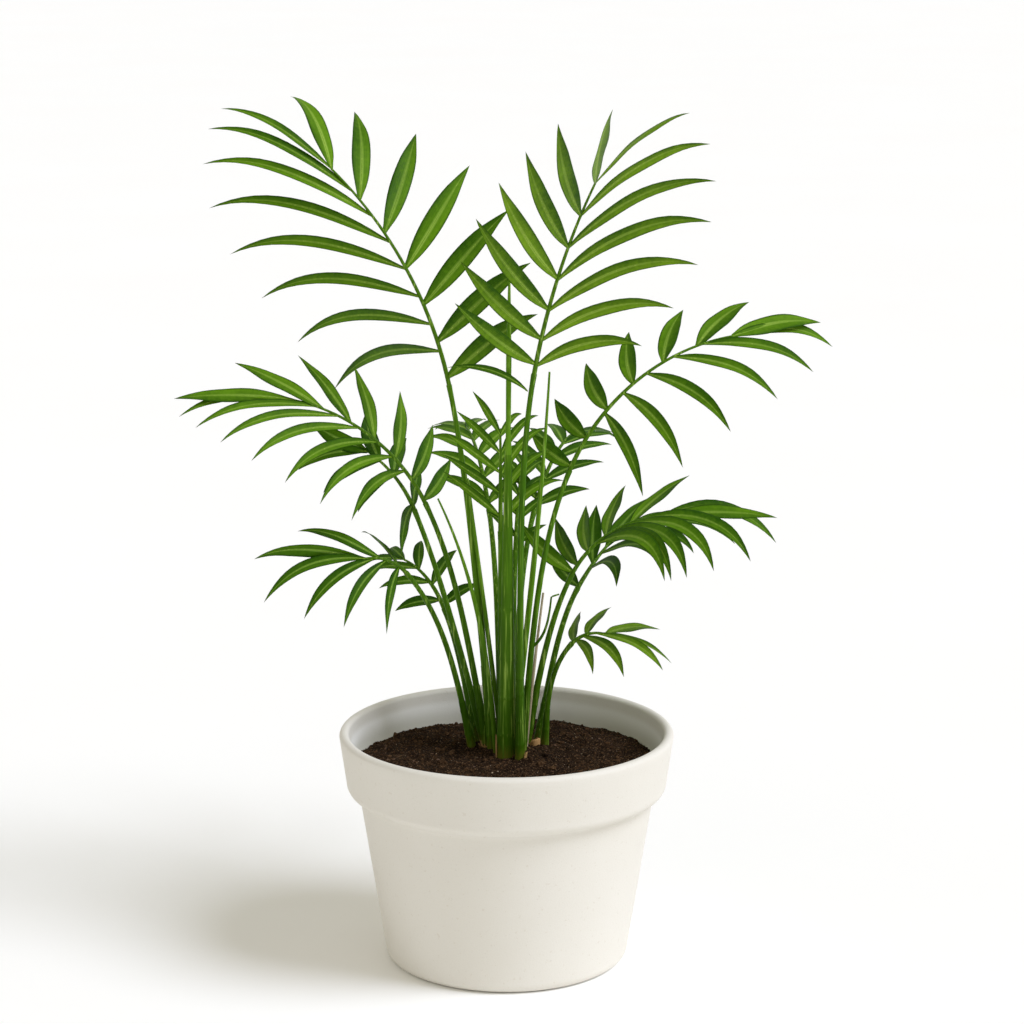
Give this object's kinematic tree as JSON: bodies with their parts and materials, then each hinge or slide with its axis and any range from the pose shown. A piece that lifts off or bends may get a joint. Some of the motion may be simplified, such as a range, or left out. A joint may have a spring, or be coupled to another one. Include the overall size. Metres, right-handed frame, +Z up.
{
  "type": "potted parlour palm",
  "caption": "Clump of leaning palm canes with arching feather fronds, standing in soil in a round tapered pot with a deep straight-sided rim band.",
  "frame": {"origin": "centre of the pot's flat underside", "axes": "+Z up through the pot and the plant, -Y towards the front of the pot, +X to the right seen from the front"},
  "size_m": [0.3365, 0.304, 0.446],
  "materials": {
    "pot": "matt off-white with a fine grain",
    "soil": "dark crumbly potting soil",
    "cane": "smooth green cane with dry sheaths at its foot",
    "petiole": "smooth green stalk",
    "spear": "smooth young leaf",
    "dry_stalk": "dry tan stalk",
    "leaf_dark": "satin dark green leaf",
    "leaf_mid": "satin green leaf",
    "leaf_light": "satin light green leaf"
  },
  "bodies": {
    "root": {"pot": "pot", "soil": "soil", "cane_upper_left": "cane", "petiole_upper_left": "petiole", "frond_upper_left": "leaf_mid", "cane_upper_right": "cane", "petiole_upper_right": "petiole", "frond_upper_right": "leaf_light", "lone_leaf_upper_right": "leaf_dark", "cane_right_arch": "cane", "petiole_right_arch": "petiole", "frond_right_arch": "leaf_mid", "cane_left_arch": "cane", "petiole_left_arch": "petiole", "frond_left_arch": "leaf_mid", "cane_low_left": "cane", "petiole_low_left": "petiole", "frond_low_left": "leaf_dark", "cane_low_right": "cane", "petiole_low_right": "petiole", "frond_low_right": "leaf_mid", "cane_inner_left": "cane", "petiole_inner_left": "petiole", "frond_inner_left": "leaf_dark", "cane_inner_right": "cane", "petiole_inner_right": "petiole", "frond_inner_right": "leaf_dark", "cane_small_right": "cane", "petiole_small_right": "petiole", "frond_small_right": "leaf_light", "cane_heart": "cane", "petiole_heart": "petiole", "frond_heart": "leaf_mid", "cane_back": "cane", "petiole_back": "petiole", "frond_back": "leaf_dark", "cane_back_right": "cane", "petiole_back_right": "petiole", "frond_back_right": "leaf_dark", "cane_back_left": "cane", "petiole_back_left": "petiole", "frond_back_left": "leaf_mid", "cane_left_back": "cane", "petiole_left_back": "petiole", "frond_left_back": "leaf_dark", "spear_right": "spear", "spear_left": "spear", "spear_inner": "spear", "dry_stalk": "dry_stalk", "cane_middle": "cane", "spear_middle": "spear"}
  },
  "joints": []
}
